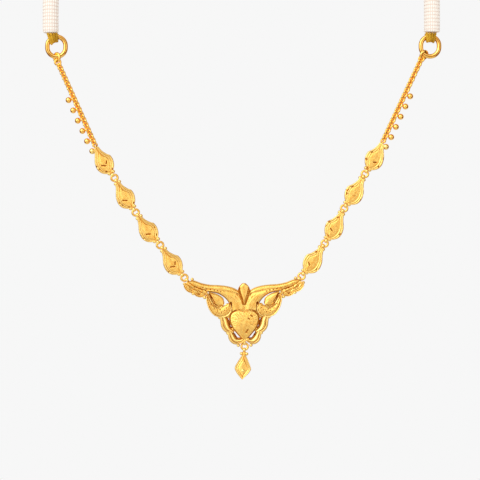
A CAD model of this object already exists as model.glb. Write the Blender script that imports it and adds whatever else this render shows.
"""Gold festoon necklace on a white thread-wound neck cord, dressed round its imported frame.

Lengths in the code are millimetres in the front view: x to the right, y up and h towards the viewer.
"""

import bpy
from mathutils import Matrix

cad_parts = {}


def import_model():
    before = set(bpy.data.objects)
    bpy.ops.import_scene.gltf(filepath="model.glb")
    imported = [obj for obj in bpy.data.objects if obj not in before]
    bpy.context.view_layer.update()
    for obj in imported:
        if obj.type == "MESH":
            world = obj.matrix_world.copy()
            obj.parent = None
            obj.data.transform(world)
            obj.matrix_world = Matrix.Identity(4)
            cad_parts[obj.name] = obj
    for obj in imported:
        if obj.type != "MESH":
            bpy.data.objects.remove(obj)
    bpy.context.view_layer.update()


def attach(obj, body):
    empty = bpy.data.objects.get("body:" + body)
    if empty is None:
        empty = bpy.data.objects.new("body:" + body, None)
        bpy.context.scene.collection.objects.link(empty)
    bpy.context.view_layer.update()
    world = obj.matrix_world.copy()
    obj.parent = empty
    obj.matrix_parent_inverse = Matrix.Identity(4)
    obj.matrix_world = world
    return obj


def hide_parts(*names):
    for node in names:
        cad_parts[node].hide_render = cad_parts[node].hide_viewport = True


bl_info = {
    "name": "Gold festoon necklace",
    "version": (1, 0, 0),
    "blender": (4, 5, 0),
    "location": "View3D > Sidebar > Necklace",
    "description": "Builds a gold festoon necklace with its neck cord round a packed frame",
    "category": "Object",
}

import bmesh
import bpy
import numpy as np
from bpy.props import FloatProperty, FloatVectorProperty, IntProperty, PointerProperty
from mathutils import Vector

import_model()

MM = 0.001
SIDES = ("left", "right")
FRONT_DEPTH = 105.0


# Settings


def length(name, text, mm):
    """A setting that is given in millimetres here and that Blender shows as a length."""
    return FloatProperty(name=name, description=text, default=mm * MM, unit="LENGTH", precision=5)


def angle(name, text, degrees):
    return FloatProperty(name=name, description=text, default=np.radians(degrees), unit="ROTATION")


def amount(name, text, value):
    return FloatProperty(name=name, description=text, default=value, min=0.0, max=1.0, subtype="FACTOR")


def colour(name, text, value):
    return FloatVectorProperty(name=name, description=text, default=value, size=3, min=0.0, max=1.0,
                               subtype="COLOR")


class CordSettings(bpy.types.PropertyGroup):
    """Sizes and colours of the neck cord and its thread loops"""
    diameter: length("Cord diameter", "Diameter of the thread-wound cord", 6.2)
    row: length("Row height", "Height of one row of stitches", 1.27)
    columns: IntProperty(name="Columns", description="Stitches round the cord", default=20, min=8, max=28)
    relief: length("Stitch relief", "Depth of the lines between the stitches", 0.2)
    strand: length("Strand diameter", "Diameter of one strand of gold thread", 1.05)
    lay: length("Lay", "Length in which the plies of a strand turn once", 2.6)
    thread: colour("Thread", "Colour of the white thread", (0.99, 0.95, 0.86))
    seam: colour("Seam", "Colour between the stitches", (0.85, 0.69, 0.58))
    gold_thread: colour("Gold thread", "Colour of the gold thread", (0.8, 0.47, 0.045))


class MetalSettings(bpy.types.PropertyGroup):
    """Colours and finish of the gold"""
    satin: colour("Satin gold", "Colour of the satin faces", (0.97, 0.65, 0.17))
    rim: colour("Rim gold", "Colour of the polished rims of struck pieces", (1.0, 0.74, 0.24))
    polished: colour("Polished gold", "Colour of the polished wires", (1.0, 0.66, 0.17))
    groove: colour("Groove", "Colour of engraved lines and recesses", (0.42, 0.12, 0.006))
    roughness: amount("Satin roughness", "Roughness of the satin faces", 0.42)
    shine: amount("Polished roughness", "Roughness of polished wires and rims", 0.1)
    grain: length("Grain size", "Size of the grain of the satin faces", 0.3)


class ChainSettings(bpy.types.PropertyGroup):
    """Sizes of the end rings and the two chains"""
    ring: length("Ring radius", "Radius of an end ring's arcs, to the middle of its wire", 3.45)
    ring_side: length("Ring side", "Length of the straight sides between an end ring's arcs", 0.7)
    ring_wire: length("Ring wire", "Diameter of the end ring's wire", 1.75)
    links: IntProperty(name="Links", description="Round links on each side", default=32, min=8, max=64)
    pitch: length("Pitch", "Distance from one link to the next", 1.07)
    wire: length("Wire", "Diameter of the chain's wire", 0.76)
    radius: length("Link radius", "Radius of a round link across the chain, to the middle of its wire", 0.93)
    squeeze: amount("Squeeze", "Length of a round link as a share of its width", 0.82)
    turn: angle("Turn", "Turn of the links about the chain", 43)
    bead: length("Granule", "Diameter of the granules on the chain's outer side", 2.3)
    first_wire: length("First wire", "Diameter of the wire of the link in the end ring", 1.05)
    first_turn: angle("First turn", "Turn of the link in the end ring about the chain", 46)


class LinkSettings(bpy.types.PropertyGroup):
    """Sizes of the tear-drop links and their jump rings"""
    rim: length("Rim width", "Width of the raised rim", 0.78)
    band: length("Second band", "Width of the band inside the rim", 0.55)
    rim_height: length("Rim height", "Height of the rim over the mid-plane", 0.85)
    field: length("Field height", "Height of the domed field over the mid-plane", 1.1)
    back: length("Back", "Thickness of the plate behind the mid-plane", 0.45)
    jump: length("Jump ring", "Radius of a jump ring, to the middle of its wire", 1.22)
    eye: length("Eye", "Radius of an eye, to the middle of its wire", 0.68)
    wire: length("Wire", "Diameter of a jump ring's wire", 0.86)
    eye_wire: length("Eye wire", "Thickness of an eye's wire", 0.5)
    eye_band: length("Eye width", "Width of the flat wire of an eye", 0.95)


class PendantSettings(bpy.types.PropertyGroup):
    """Sizes of the pendant"""
    leaf: length("Leaf height", "Height of the leaves over the mid-plane", 1.2)
    heart: length("Heart height", "Height of the heart's crown over the mid-plane", 2.3)
    back: length("Back", "Thickness of the pendant behind the mid-plane", 0.6)


class StageSettings(bpy.types.PropertyGroup):
    """Camera, light and floor"""
    field: length("Picture width", "Width of the picture in the plane of the gold front", 182.4)
    distance: length("Distance", "Distance from the camera to the gold front", 700)
    floor: length("Floor", "Height of the floor", -265)
    backdrop: amount("Backdrop", "Brightness of what is seen behind the necklace", 0.93)
    key: FloatProperty(name="Key light", description="Power of the main light", default=2.0, min=0.0,
                       unit="POWER")


# Places


def lean(a):
    """The direction down a piece that slants by a degrees."""
    a = np.radians(a)
    return np.array([-np.sin(a), -np.cos(a)])


def turned(p, a):
    """Points turned about the origin by a degrees, anticlockwise."""
    a = np.radians(a)
    p = np.asarray(p, float)
    x, y = p[..., 0], p[..., 1]
    out = p.copy()
    out[..., 0], out[..., 1] = x * np.cos(a) - y * np.sin(a), x * np.sin(a) + y * np.cos(a)
    return out


def at(p, place, slant=0.0):
    """Points of a piece that slants from the vertical and whose own origin is at place."""
    out = turned(p, -slant)
    out[..., 0] += place[0]
    out[..., 1] += place[1]
    return out


def pick(side, left, right):
    return left if side == "left" else right


# Sizes, places and slants of the solids, as the frame has them
LINK_PLAY = 0.1
PLATE_LEN = 11.1
EYE_PAST = 0.85
FIRST_EYE_PAST = 0.16
PENDANT_TOP = -149.6
PENDANT_MIDDLE = -11.0
PENDANT_FOOT = -22.67
PENDANT_TILT = 0.7
# The reach from a jump ring's centre to its eye's, and the centres of the last jump rings
REACH = {"left": 1.33, "right": 1.23}
HOOKS = {"left": (22.6, 2.4), "right": (21.9, 2.4)}
LINK_SLANTS = {"left": (31.2, 31.5, 36.8, 36.7), "right": (29.2, 31.2, 28.9, 35.3)}
CHAIN_SLANTS = {"left": 24.2, "right": 25.0}
FIRST_SLANTS = {"left": 2.0, "right": 38.0}
EYE_SLANT = 47.0
DROP_SLANT = 4.5
DROP_NECK = 1.95
FIRST_BEAD, BEAD_STEP, BEAD_COUNT = 13, 4, 5
# A granule's place beside its link, out from the chain and up along it
BEAD_OUT, BEAD_UP = 2.15, 0.4
# The link in the end ring, the one below it, the even round links and the end ring
FIRST_WIRE, FIRST_R = 0.8, 1.525
SECOND_R = {"left": 1.06, "right": 0.93}
CHAIN_LINKS, CHAIN_PITCH, CHAIN_WIRE = 32, 1.07, 0.425
RING_R, RING_SIDE, RING_WIRE = 3.45, 0.7, 1.5
LINK_R = (CHAIN_PITCH + LINK_PLAY + CHAIN_WIRE) / 2
FIRST_AT = FIRST_R - FIRST_WIRE / 2 - RING_WIRE / 2 - LINK_PLAY
FIRST_FOOT = FIRST_AT + FIRST_R - FIRST_WIRE / 2


def on_pendant(p, side="right"):
    """Points given from the pendant's upper edge, where the tilted pendant has them."""
    p = np.asarray(p, float).copy()
    p[..., 1] -= PENDANT_MIDDLE
    p = turned(p, pick(side, -PENDANT_TILT, PENDANT_TILT))
    p[..., 1] += PENDANT_TOP + PENDANT_MIDDLE
    return p


def link_span(side, i):
    """The distance from where link i hangs down to where the next one does."""
    above = FIRST_EYE_PAST if i == 0 else EYE_PAST + REACH[side]
    return PLATE_LEN + EYE_PAST + REACH[side] + above


def hang_point(side, i):
    """The point from which link i hangs: the chain's end, then the centre of each jump ring."""
    if i == len(LINK_SLANTS[side]):
        return on_pendant(HOOKS[side], side)
    return hang_point(side, i + 1) - link_span(side, i) * lean(LINK_SLANTS[side][i])


def second_at(side):
    """The distance down from the end ring's wire to the second link."""
    return FIRST_FOOT - CHAIN_WIRE / 2 - LINK_PLAY + SECOND_R[side]


def chain_at(side):
    """The distance down to the first of the even round links."""
    return second_at(side) + SECOND_R[side] - CHAIN_WIRE - LINK_PLAY + LINK_R


def first_hold(side):
    """The point at which the chain leaves the link in the end ring."""
    long = chain_at(side) + CHAIN_LINKS * CHAIN_PITCH
    return hang_point(side, 0) - (long - FIRST_FOOT) * lean(CHAIN_SLANTS[side])


def ring_foot(side):
    """The middle of the end ring's wire at its foot."""
    return first_hold(side) - FIRST_FOOT * lean(FIRST_SLANTS[side])


def ring_low(side):
    """The centre of the end ring's lower arc."""
    return ring_foot(side) - RING_R * lean(FIRST_SLANTS[side])


def ring_high(side):
    """The centre of its upper arc."""
    return ring_low(side) + np.array([0, RING_SIDE])


def on_chain(side, down):
    """The point on the chain's line at that distance down from the end ring's wire."""
    return first_hold(side) + (down - FIRST_FOOT) * lean(CHAIN_SLANTS[side])


DROP_AT = on_pendant((0, PENDANT_FOOT)) - np.array([0, REACH["left"]])


def world(points, side="right"):
    """Front view points [x, y, h] in metres, as the frame has them."""
    p = np.asarray(points, float)
    x = p[..., 0] * (-1 if side == "left" else 1)
    return np.stack([x, -FRONT_DEPTH - p[..., 2], p[..., 1]], -1) * MM


# Curves and shells


def open_curve(rows, steps):
    """A smooth open curve through the rows."""
    p = np.asarray(rows, float)
    last = len(p) - 1
    out = []
    for i in range(last):
        a, b, c, d = p[max(i - 1, 0)], p[i], p[i + 1], p[min(i + 2, last)]
        for t in np.arange(steps) / steps:
            out.append(b + t / 2 * (c - a + t * (2 * a - 5 * b + 4 * c - d + t * (3 * (b - c) + d - a))))
    return np.array(out + [p[last]])


def unit(v):
    return v / np.linalg.norm(v, axis=-1, keepdims=True)


def circle(count):
    """The angles of points spread evenly round a circle."""
    return np.arange(count) * 2 * np.pi / count


def run_along(line):
    """The distance of each point of a line from its first one."""
    return np.concatenate([[0], np.cumsum(np.linalg.norm(np.diff(line, axis=0), axis=1))])


def eased(t):
    """A smooth step from 0 to 1."""
    t = np.clip(t, 0, 1)
    return t * t * (3 - 2 * t)


# Angle in degrees from which an edge between struck faces is crisp
CRISP = 38


class Shell:
    """The closed surfaces of one piece, with what its material reads: groove, shine, dots and pattern."""

    def __init__(self):
        self.points, self.faces, self.masks, self.flat, self.size = [], [], [], [], 0

    def add(self, points, faces, masks=None, flat=None, side="right"):
        n = len(points)
        self.points.append(world(points, side))
        self.faces += [[self.size + k for k in f] for f in faces]
        self.masks.append(np.zeros((n, 3)) if masks is None else np.clip(masks, 0, 1))
        self.flat.append(np.zeros((n, 2)) if flat is None else flat)
        self.size += n

    def piece(self, name, material, body, nodes, slot):
        mesh = bpy.data.meshes.new(name)
        mesh.from_pydata(np.concatenate(self.points).tolist(), [], self.faces)
        face_outwards(mesh)
        masks, flat = np.concatenate(self.masks), np.concatenate(self.flat)
        for label, values in zip(("groove", "shine", "dots"), masks.T):
            mesh.attributes.new(label, "FLOAT", "POINT").data.foreach_set("value", values.astype(np.float32))
        corners = np.zeros(len(mesh.loops), np.int32)
        mesh.loops.foreach_get("vertex_index", corners)
        mesh.uv_layers.new(name="pattern").data.foreach_set("uv", flat[corners].ravel().astype(np.float32))
        dressed(name, mesh, material, body, nodes, CRISP)


def face_outwards(mesh):
    bm = bmesh.new()
    bm.from_mesh(mesh)
    bmesh.ops.recalc_face_normals(bm, faces=bm.faces)
    bm.to_mesh(mesh)
    bm.free()


def dressed(name, mesh, material, body, nodes, crisp=None):
    """Makes the piece of that mesh, riding on its body and standing for its nodes."""
    if not len(mesh.polygons):
        raise RuntimeError(f"{name} has no faces")
    mesh.shade_smooth()
    if crisp:
        mesh.set_sharp_from_angle(angle=np.radians(crisp))
    mesh.materials.clear()
    mesh.materials.append(material)
    obj = bpy.data.objects.new(name, mesh)
    bpy.context.scene.collection.objects.link(obj)
    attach(obj, body)
    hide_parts(*nodes)


def net(rows, columns, wrap=False):
    """The faces of a net of points whose columns close round, and whose rows do too with wrap."""
    return [[i * columns + k, i * columns + (k + 1) % columns,
             (i + 1) % rows * columns + (k + 1) % columns, (i + 1) % rows * columns + k]
            for i in range(rows if wrap else rows - 1) for k in range(columns)]


# The axis of a ring that faces the viewer, and a direction that no ring's axis has
FACING = (0, 0, 1)
SKEW = [0.31, 0.52, 0.79]
# Darker bands along an end ring's wire: angle about the wire in radians, half-width and strength
RING_TONES = ((1.45, 0.3, 0.7), (0.1, 0.5, 0.5))
# How far such a band reaches, in half-widths
TONE_REACH = 1.2


def polished(count):
    """The masks of that many polished points."""
    return np.tile([0.0, 1.0, 0.0], (count, 1))


def torus(shell, centre, axis, radius, wire, around, across, side="right", band=None):
    """A wire ring about an axis in the front view's directions, band wide along it if its wire is flat."""
    axis = unit(np.array(axis, float))
    u = unit(np.cross(axis, SKEW))
    v = np.cross(axis, u)
    a, b = circle(around), circle(across)
    spoke = np.cos(a)[:, None] * u + np.sin(a)[:, None] * v
    out = (radius + wire / 2 * np.cos(b))[None, :, None] * spoke[:, None, :]
    points = np.asarray(centre, float) + out + ((band or wire) / 2 * np.sin(b))[None, :, None] * axis
    shell.add(points.reshape(-1, 3), net(around, across, True), polished(around * across), side=side)


def oval_ring(shell, low, radius, straight, wire, side, around=48, across=28):
    """A wire ring with two straight sides: its lower arc is centred at low, its upper one above that."""
    turn = np.linspace(0, np.pi, around + 1)
    a, b = np.concatenate([turn, turn + np.pi]), circle(across)
    out = radius + wire / 2 * np.cos(b)
    points = np.stack([np.cos(a)[:, None] * out, np.sin(a)[:, None] * out,
                       np.tile(wire / 2 * np.sin(b), (len(a), 1))], -1)
    points[:around + 1, :, 1] += straight
    masks = polished(len(a) * across)
    tone = sum(strength * eased(TONE_REACH - np.abs(b - middle) / half)
               for middle, half, strength in RING_TONES)
    masks[:, 0] = np.tile(tone, len(a))
    shell.add(points.reshape(-1, 3) + [*low, 0], net(len(a), across, True), masks, side=side)


def ball(shell, centre, diameter, side="right", around=20, rows=12):
    """A granule, with its poles closed."""
    tilt = np.pi * np.arange(1, rows) / rows
    a = circle(around)
    ring = np.stack([np.sin(tilt)[:, None] * np.cos(a), np.sin(tilt)[:, None] * np.sin(a),
                     np.repeat(np.cos(tilt)[:, None], around, 1)], -1).reshape(-1, 3)
    points = np.concatenate([ring, [[0, 0, 1], [0, 0, -1]]]) * diameter / 2 + np.asarray(centre, float)
    top, foot = len(ring), len(ring) + 1
    low = (rows - 2) * around
    faces = net(rows - 1, around)
    faces += [[top, (k + 1) % around, k] for k in range(around)]
    faces += [[foot, low + k, low + (k + 1) % around] for k in range(around)]
    shell.add(points, faces, polished(len(points)), side=side)


def granule_pair(shell, place, x, y, h, diameter, side="right"):
    """Two granules, one on each side of a piece's middle line."""
    for across in (-x, x):
        ball(shell, place(np.array([across, y, h])), diameter, side)


# The half-width from which a field is domed to its full height, and the tone of the lines in it
FULL_DOME, LINE_TONE = 1.2, 0.32


class Relief:
    """The cross-section of a struck leaf or plate: rounded bands with lines between, then a domed field.

    Each band is its width, its height and the tone of the line on its inner side. The tone of an edge, a line
    or the field is how dark it is. The lines are gutter wide and depth deep. The field has fine rows on each
    side, and those counted in lines are toned. A soft side has no bands and slopes into its neighbour.
    """

    def __init__(self, bands, field_top, back, edge=0.35, gutter=0.14, depth=0.24, shine=0.85,
                 field_shine=0.0, fine=6, lines=(), soft=(False, False), tone=0.0):
        self.bands, self.field_top, self.back, self.edge = bands, field_top, back, edge
        self.gutter, self.depth, self.shine, self.field_shine = gutter, depth, shine, field_shine
        self.fine, self.lines, self.soft, self.tone = fine, lines, soft, tone

    def half(self, width, soft=False):
        """Rows of [distance from the edge, height, groove, shine], for each half-width."""
        w = np.asarray(width, float)
        one = np.ones_like(w)
        top = self.bands[0][1]
        foot = (0 * w, -self.back * one, 0.1, 0.4)
        if soft:
            rows = [foot, (0 * w, (top - 0.5) * one, self.edge, 0),
                    (np.minimum(0.24, 0.14 * w), (top - 0.38) * one, self.edge, 0)]
            begin, low = np.minimum(0.34, 0.2 * w), (top - 0.3) * one
        else:
            total = sum(band[0] + self.gutter for band in self.bands)
            # Where the leaf is narrow, k makes its bands narrower and flatter
            k = np.minimum(1.0, w / (total + 0.25))
            rows = [foot, (0 * w, top - 0.34 * k, self.edge + 0.3, 0.5)]
            begin, tone = 0 * w, self.edge
            for wide, high, line in self.bands:
                wide, high = wide * k, np.maximum(high, 0) * one
                # The band's outer edge, outer shoulder, crown, inner shoulder and inner edge, and its line
                rows += [(begin + 0.05 * wide, high - 0.2 * k, tone, 0.7),
                         (begin + 0.2 * wide, high - 0.06 * k, 0.06, self.shine),
                         (begin + 0.5 * wide, high, 0.0, self.shine),
                         (begin + 0.78 * wide, high - 0.03 * k, 0.0, self.shine),
                         (begin + wide, high - 0.11 * k, 0.4 * line, 0.6 * self.shine),
                         (begin + wide + self.gutter * k / 2, high - self.depth * k, line, 0.2)]
                begin, tone = begin + wide + self.gutter * k, 0.3 * line
            low = high - 0.7 * self.depth * k
        crown = np.maximum(top + (self.field_top - top) * np.minimum(1, w / FULL_DOME), low)
        for i in range(self.fine + 1):
            t = i / self.fine
            rows.append((begin + (w - begin) * t, low + (crown - low) * (1 - (1 - t) ** 2),
                         LINE_TONE if i in self.lines else self.tone, self.field_shine))
        return np.array([[np.broadcast_to(v, w.shape) for v in row] for row in rows])


# Slopes in degrees of the rows that round off a leaf's ends, and the share of its width that takes dots
CAP_SLOPES = (35, 62, 82)
DOTTED = 0.75


def leaf(shell, rows, relief, place, steps=8, cap=0.5, marks=(), dots=0.0, side="right"):
    """A struck leaf along a spine of rows [x, y, half-width] or [x, y, left, right half-width].

    Its rounded ends are cap long, as a share of the half-width there.
    """
    c = open_curve(rows, steps)
    spine, wide = c[:, :2], c[:, 2:]
    if wide.shape[1] == 1:
        wide = np.repeat(wide, 2, 1)
    ends = []
    for here, other in ((0, 1), (-1, -2)):
        away = unit(spine[here] - spine[other])
        size = wide[here].mean() * cap
        ends.append([(spine[here] + away * size * np.sin(a), wide[here] * np.cos(a))
                     for a in np.radians(CAP_SLOPES)])
    ahead = unit(np.gradient(spine, axis=0))
    spine = np.concatenate([[p for p, _ in ends[0][::-1]], spine, [p for p, _ in ends[1]]])
    wide = np.concatenate([[w for _, w in ends[0][::-1]], wide, [w for _, w in ends[1]]])
    caps = len(CAP_SLOPES)
    ahead = np.concatenate([ahead[:1]] * caps + [ahead] + [ahead[-1:]] * caps)
    across = np.stack([-ahead[:, 1], ahead[:, 0]], -1)
    run = run_along(spine)
    halves = [relief.half(wide[:, k], relief.soft[k]) for k in (0, 1)]
    reach = [-(wide[:, 0] - halves[0][:, 0]), (wide[:, 1] - halves[1][:, 0])[::-1]]
    offset = np.concatenate([reach[0], reach[1][1:]]).T
    height, groove, shine = (np.concatenate([halves[0][:, k], halves[1][::-1][1:, k]]).T for k in (1, 2, 3))
    flat = np.stack([offset, np.repeat(run[:, None], offset.shape[1], 1)], -1)
    points = np.concatenate([spine[:, None] + across[:, None] * offset[..., None], height[..., None]], -1)
    points, groove = pressed(points.reshape(-1, 3), groove.ravel().copy(), marks)
    n, m = offset.shape
    faces = net(n, m) + [list(range(m)), list(range((n - 1) * m, n * m))]
    inside = np.abs(flat[..., 0]) < DOTTED * np.max(wide, axis=1)[:, None]
    masks = np.stack([groove, shine.ravel(), (dots * inside).ravel()], -1)
    shell.add(place(points), faces, masks, flat.reshape(-1, 2), side)


# Above 1, so that a stroke is at full depth along a narrow floor and not only along its middle
STROKE_FLOOR = 1.15


def pressed(points, groove, marks):
    """Short strokes cut into points: each mark is x, y, length, slope in degrees, width and depth."""
    for x, y, long, slope, width, depth in marks:
        slope = np.radians(slope)
        ahead = np.array([np.cos(slope), np.sin(slope)])
        off = points[:, :2] - (x, y)
        along = np.clip(off @ ahead, -long / 2, long / 2)
        near = eased(STROKE_FLOOR * (1 - np.linalg.norm(off - along[:, None] * ahead, axis=1) / width))
        near = near * (points[:, 2] > 0)
        points[:, 2] -= depth * near
        groove = np.maximum(groove, near)
    return points, groove


# Node trees


class Tree:
    """A node tree, with short ways to add nodes, links and arithmetic."""

    def __init__(self, tree):
        self.tree = tree

    @classmethod
    def group(cls, name, kind, inputs, outputs):
        """A new node group. Inputs are (name, kind of socket, default) and outputs (name, kind of socket)."""
        made = cls(bpy.data.node_groups.new(name, kind))
        sockets = made.tree.interface
        for label, kept, default in inputs:
            item = sockets.new_socket(name=label, in_out="INPUT", socket_type="NodeSocket" + kept)
            if default is not None:
                item.default_value = default
        for label, kept in outputs:
            sockets.new_socket(name=label, in_out="OUTPUT", socket_type="NodeSocket" + kept)
        made.given = made.add("NodeGroupInput").outputs
        made.result = made.add("NodeGroupOutput").inputs
        return made

    @classmethod
    def shaper(cls, name, *inputs):
        """A new group that makes geometry from geometry and these inputs, in a material."""
        inputs = [("Geometry", "Geometry", None), *inputs, ("Material", "Material", None)]
        return cls.group(name, "GeometryNodeTree", inputs, [("Geometry", "Geometry")])

    def add(self, kind, inputs=None, **settings):
        made = self.tree.nodes.new(kind)
        for name, value in settings.items():
            setattr(made, name, value)
        for key, value in (inputs or {}).items():
            self.put(made.inputs[key], value)
        return made

    def out(self, kind, inputs=None, **settings):
        """The first output of a new node."""
        return self.add(kind, inputs, **settings).outputs[0]

    def mask(self, name):
        """The piece's own attribute of that name."""
        return self.add("ShaderNodeAttribute", attribute_name=name).outputs["Fac"]

    def bump(self, shader, height, strength, distance):
        made = self.add("ShaderNodeBump", {"Height": height, "Strength": strength, "Distance": distance})
        self.put(shader.inputs["Normal"], made.outputs["Normal"])

    def put(self, socket, value):
        if isinstance(value, bpy.types.NodeSocket):
            self.tree.links.new(value, socket)
        else:
            socket.default_value = value

    def math(self, operation, *values, clamp=False):
        made = self.add("ShaderNodeMath", operation=operation, use_clamp=clamp)
        for socket, value in zip(made.inputs, values):
            self.put(socket, value)
        return made.outputs[0]

    def mapped(self, value, low, high, to_low=0.0, to_high=1.0, soft=True):
        made = self.add("ShaderNodeMapRange", interpolation_type="SMOOTHSTEP" if soft else "LINEAR")
        for socket, v in zip(made.inputs, (value, low, high, to_low, to_high)):
            self.put(socket, v)
        return made.outputs[0]

    def mixed(self, factor, a, b):
        made = self.add("ShaderNodeMix", data_type="RGBA")
        for key, value in zip((0, 6, 7), (factor, a, b)):
            self.put(made.inputs[key], value)
        return made.outputs[2]

    def place(self, group, **inputs):
        made = self.add("ShaderNodeGroup")
        made.node_tree = group
        for name, value in inputs.items():
            self.put(made.inputs[name.replace("_", " ")], value)
        return made.outputs


def rgba(value):
    return (*value, 1.0)


def tinted(value, factors):
    """The colour with each of its channels multiplied."""
    return rgba([min(1, c * f) for c, f in zip(value, factors)])


def pattern_place(t):
    """The place on a leaf: X across it and Y along it, in millimetres."""
    return t.add("ShaderNodeSeparateXYZ", {"Vector": t.out("ShaderNodeUVMap", uv_map="pattern")})


def grain_effect():
    """Fine grain and a soft, coarse unevenness of struck metal or thread, in the piece's own coordinates."""
    t = Tree.group("Grain", "ShaderNodeTree", [("Size", "Float", 0.0003)],
                   [("Height", "Float"), ("Swell", "Float"), ("Mottle", "Float")])
    where = t.add("ShaderNodeTexCoord").outputs["Object"]
    fine = t.math("DIVIDE", 1.0, t.given["Size"])
    noise = t.add("ShaderNodeTexNoise", {"Vector": where, "Scale": fine, "Detail": 3.0, "Roughness": 0.6})
    rough = t.math("DIVIDE", fine, 4.0)
    coarse = t.add("ShaderNodeTexNoise", {"Vector": where, "Scale": rough, "Detail": 2.0})
    t.put(t.result["Height"], noise.outputs["Fac"])
    t.put(t.result["Swell"], coarse.outputs["Fac"])
    t.put(t.result["Mottle"], t.mapped(coarse.outputs["Fac"], 0.35, 0.65))
    return t.tree


def flow_effect():
    """Long soft streaks that follow a leaf from end to end."""
    t = Tree.group("Flow", "ShaderNodeTree", [("Across", "Float", 1.6), ("Along", "Float", 0.22)],
                   [("Streak", "Float")])
    flat = pattern_place(t)
    where = t.add("ShaderNodeCombineXYZ", {"X": t.math("MULTIPLY", flat.outputs[0], t.given["Across"]),
                                           "Y": t.math("MULTIPLY", flat.outputs[1], t.given["Along"])})
    noise = t.add("ShaderNodeTexNoise", {"Vector": where.outputs[0], "Scale": 1.0, "Detail": 2.0})
    t.put(t.result["Streak"], t.mapped(noise.outputs["Fac"], 0.3, 0.7))
    return t.tree


def groove_effect():
    """Gold that turns to the groove's colour where the piece's groove mask is, with an uneven edge."""
    t = Tree.group("Groove tone", "ShaderNodeTree",
                   [("Gold", "Color", (1, 0.7, 0.2, 1)), ("Groove", "Color", (0.5, 0.2, 0, 1)),
                    ("Break up", "Float", 0.5)],
                   [("Colour", "Color"), ("Mask", "Float")])
    mask = t.mask("groove")
    where = t.add("ShaderNodeTexCoord").outputs["Object"]
    noise = t.add("ShaderNodeTexNoise", {"Vector": where, "Scale": 900.0, "Detail": 2.0}).outputs["Fac"]
    uneven = t.math("MULTIPLY_ADD", t.math("SUBTRACT", noise, 0.5), t.given["Break up"], 1.0)
    mask = t.math("MULTIPLY", mask, uneven, clamp=True)
    t.put(t.result["Colour"], t.mixed(mask, t.given["Gold"], t.given["Groove"]))
    t.put(t.result["Mask"], mask)
    return t.tree


def dots_effect():
    """Rows of punched dots along a leaf, where the piece's dots mask is."""
    t = Tree.group("Punched dots", "ShaderNodeTree",
                   [("Spacing", "Float", 0.8), ("Radius", "Float", 0.2)],
                   [("Mask", "Float")])
    flat = pattern_place(t)
    far = []
    for axis in (0, 1):
        cell = t.math("MODULO", t.math("ADD", flat.outputs[axis], 100.0), t.given["Spacing"])
        far.append(t.math("SUBTRACT", cell, t.math("MULTIPLY", t.given["Spacing"], 0.5)))
    away = t.math("SQRT", t.math("ADD", *[t.math("MULTIPLY", f, f) for f in far]))
    spot = t.mapped(away, t.math("MULTIPLY", t.given["Radius"], 0.5), t.given["Radius"], 1.0, 0.0)
    gate = t.mask("dots")
    t.put(t.result["Mask"], t.math("MULTIPLY", spot, gate))
    return t.tree


def new_material(name):
    made = bpy.data.materials.new(name)
    made.use_nodes = True
    t = Tree(made.node_tree)
    shader = next(n for n in t.tree.nodes if n.type == "BSDF_PRINCIPLED")
    return made, t, shader


def struck_gold(s, effects):
    """Die-struck gold: satin faces with soft streaks, polished rims, dark grooves and punched dots."""
    made, t, shader = new_material("struck_gold")
    grain = t.place(effects["grain"], Size=s.grain)
    streak = t.place(effects["flow"], Across=1.6, Along=0.22)["Streak"]
    shine = t.mask("shine")
    deep, pale = tinted(s.satin, (0.97, 0.76, 0.5)), tinted(s.satin, (1.0, 1.1, 1.3))
    face = t.mixed(t.math("MULTIPLY", grain["Mottle"], 0.75), rgba(s.satin), deep)
    face = t.mixed(t.math("MULTIPLY", streak, 0.4), face, pale)
    face = t.mixed(shine, face, rgba(s.rim))
    toned = t.place(effects["groove"], Gold=face, Groove=rgba(s.groove), Break_up=1.1)
    dots = t.place(effects["dots"], Spacing=0.95, Radius=0.24)["Mask"]
    dotted = t.mixed(t.math("MULTIPLY", dots, 0.7), toned["Colour"], rgba(s.groove))
    t.put(shader.inputs["Base Color"], dotted)
    rough = t.mapped(shine, 0, 1, s.roughness, s.shine + 0.08, soft=False)
    rough = t.math("ADD", rough, t.math("MULTIPLY", t.math("SUBTRACT", grain["Height"], 0.5), 0.2))
    t.put(shader.inputs["Roughness"], rough)
    uneven = t.math("ADD", t.math("MULTIPLY", grain["Height"], 0.3), t.math("MULTIPLY", grain["Swell"], 1.2))
    uneven = t.math("ADD", uneven, t.math("MULTIPLY", streak, 0.45))
    height = t.math("MULTIPLY", uneven, t.mapped(shine, 0, 1, 1.0, 0.12, soft=False))
    height = t.math("SUBTRACT", height, t.math("MULTIPLY", dots, 0.5))
    t.bump(shader, height, 0.7, 0.00011)
    shader.inputs["Metallic"].default_value = 1.0
    return made


def wire_gold(s, effects):
    """Polished gold of rings, chains and granules, with hair scratches and a little tone."""
    made, t, shader = new_material("wire_gold")
    grain = t.place(effects["grain"], Size=0.0005)
    warm = tinted(s.polished, (1, 0.8, 0.5))
    gold = t.mixed(t.math("MULTIPLY", grain["Mottle"], 0.45), rgba(s.polished), warm)
    toned = t.place(effects["groove"], Gold=gold, Groove=rgba(s.groove), Break_up=0.8)
    t.put(shader.inputs["Base Color"], toned["Colour"])
    rough = t.mapped(grain["Height"], 0.2, 0.8, s.shine - 0.02, s.shine + 0.1, soft=False)
    t.put(shader.inputs["Roughness"], rough)
    height = t.math("ADD", t.math("MULTIPLY", grain["Height"], 0.4), grain["Swell"])
    t.bump(shader, height, 0.25, 0.0001)
    shader.inputs["Metallic"].default_value = 1.0
    return made


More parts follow.
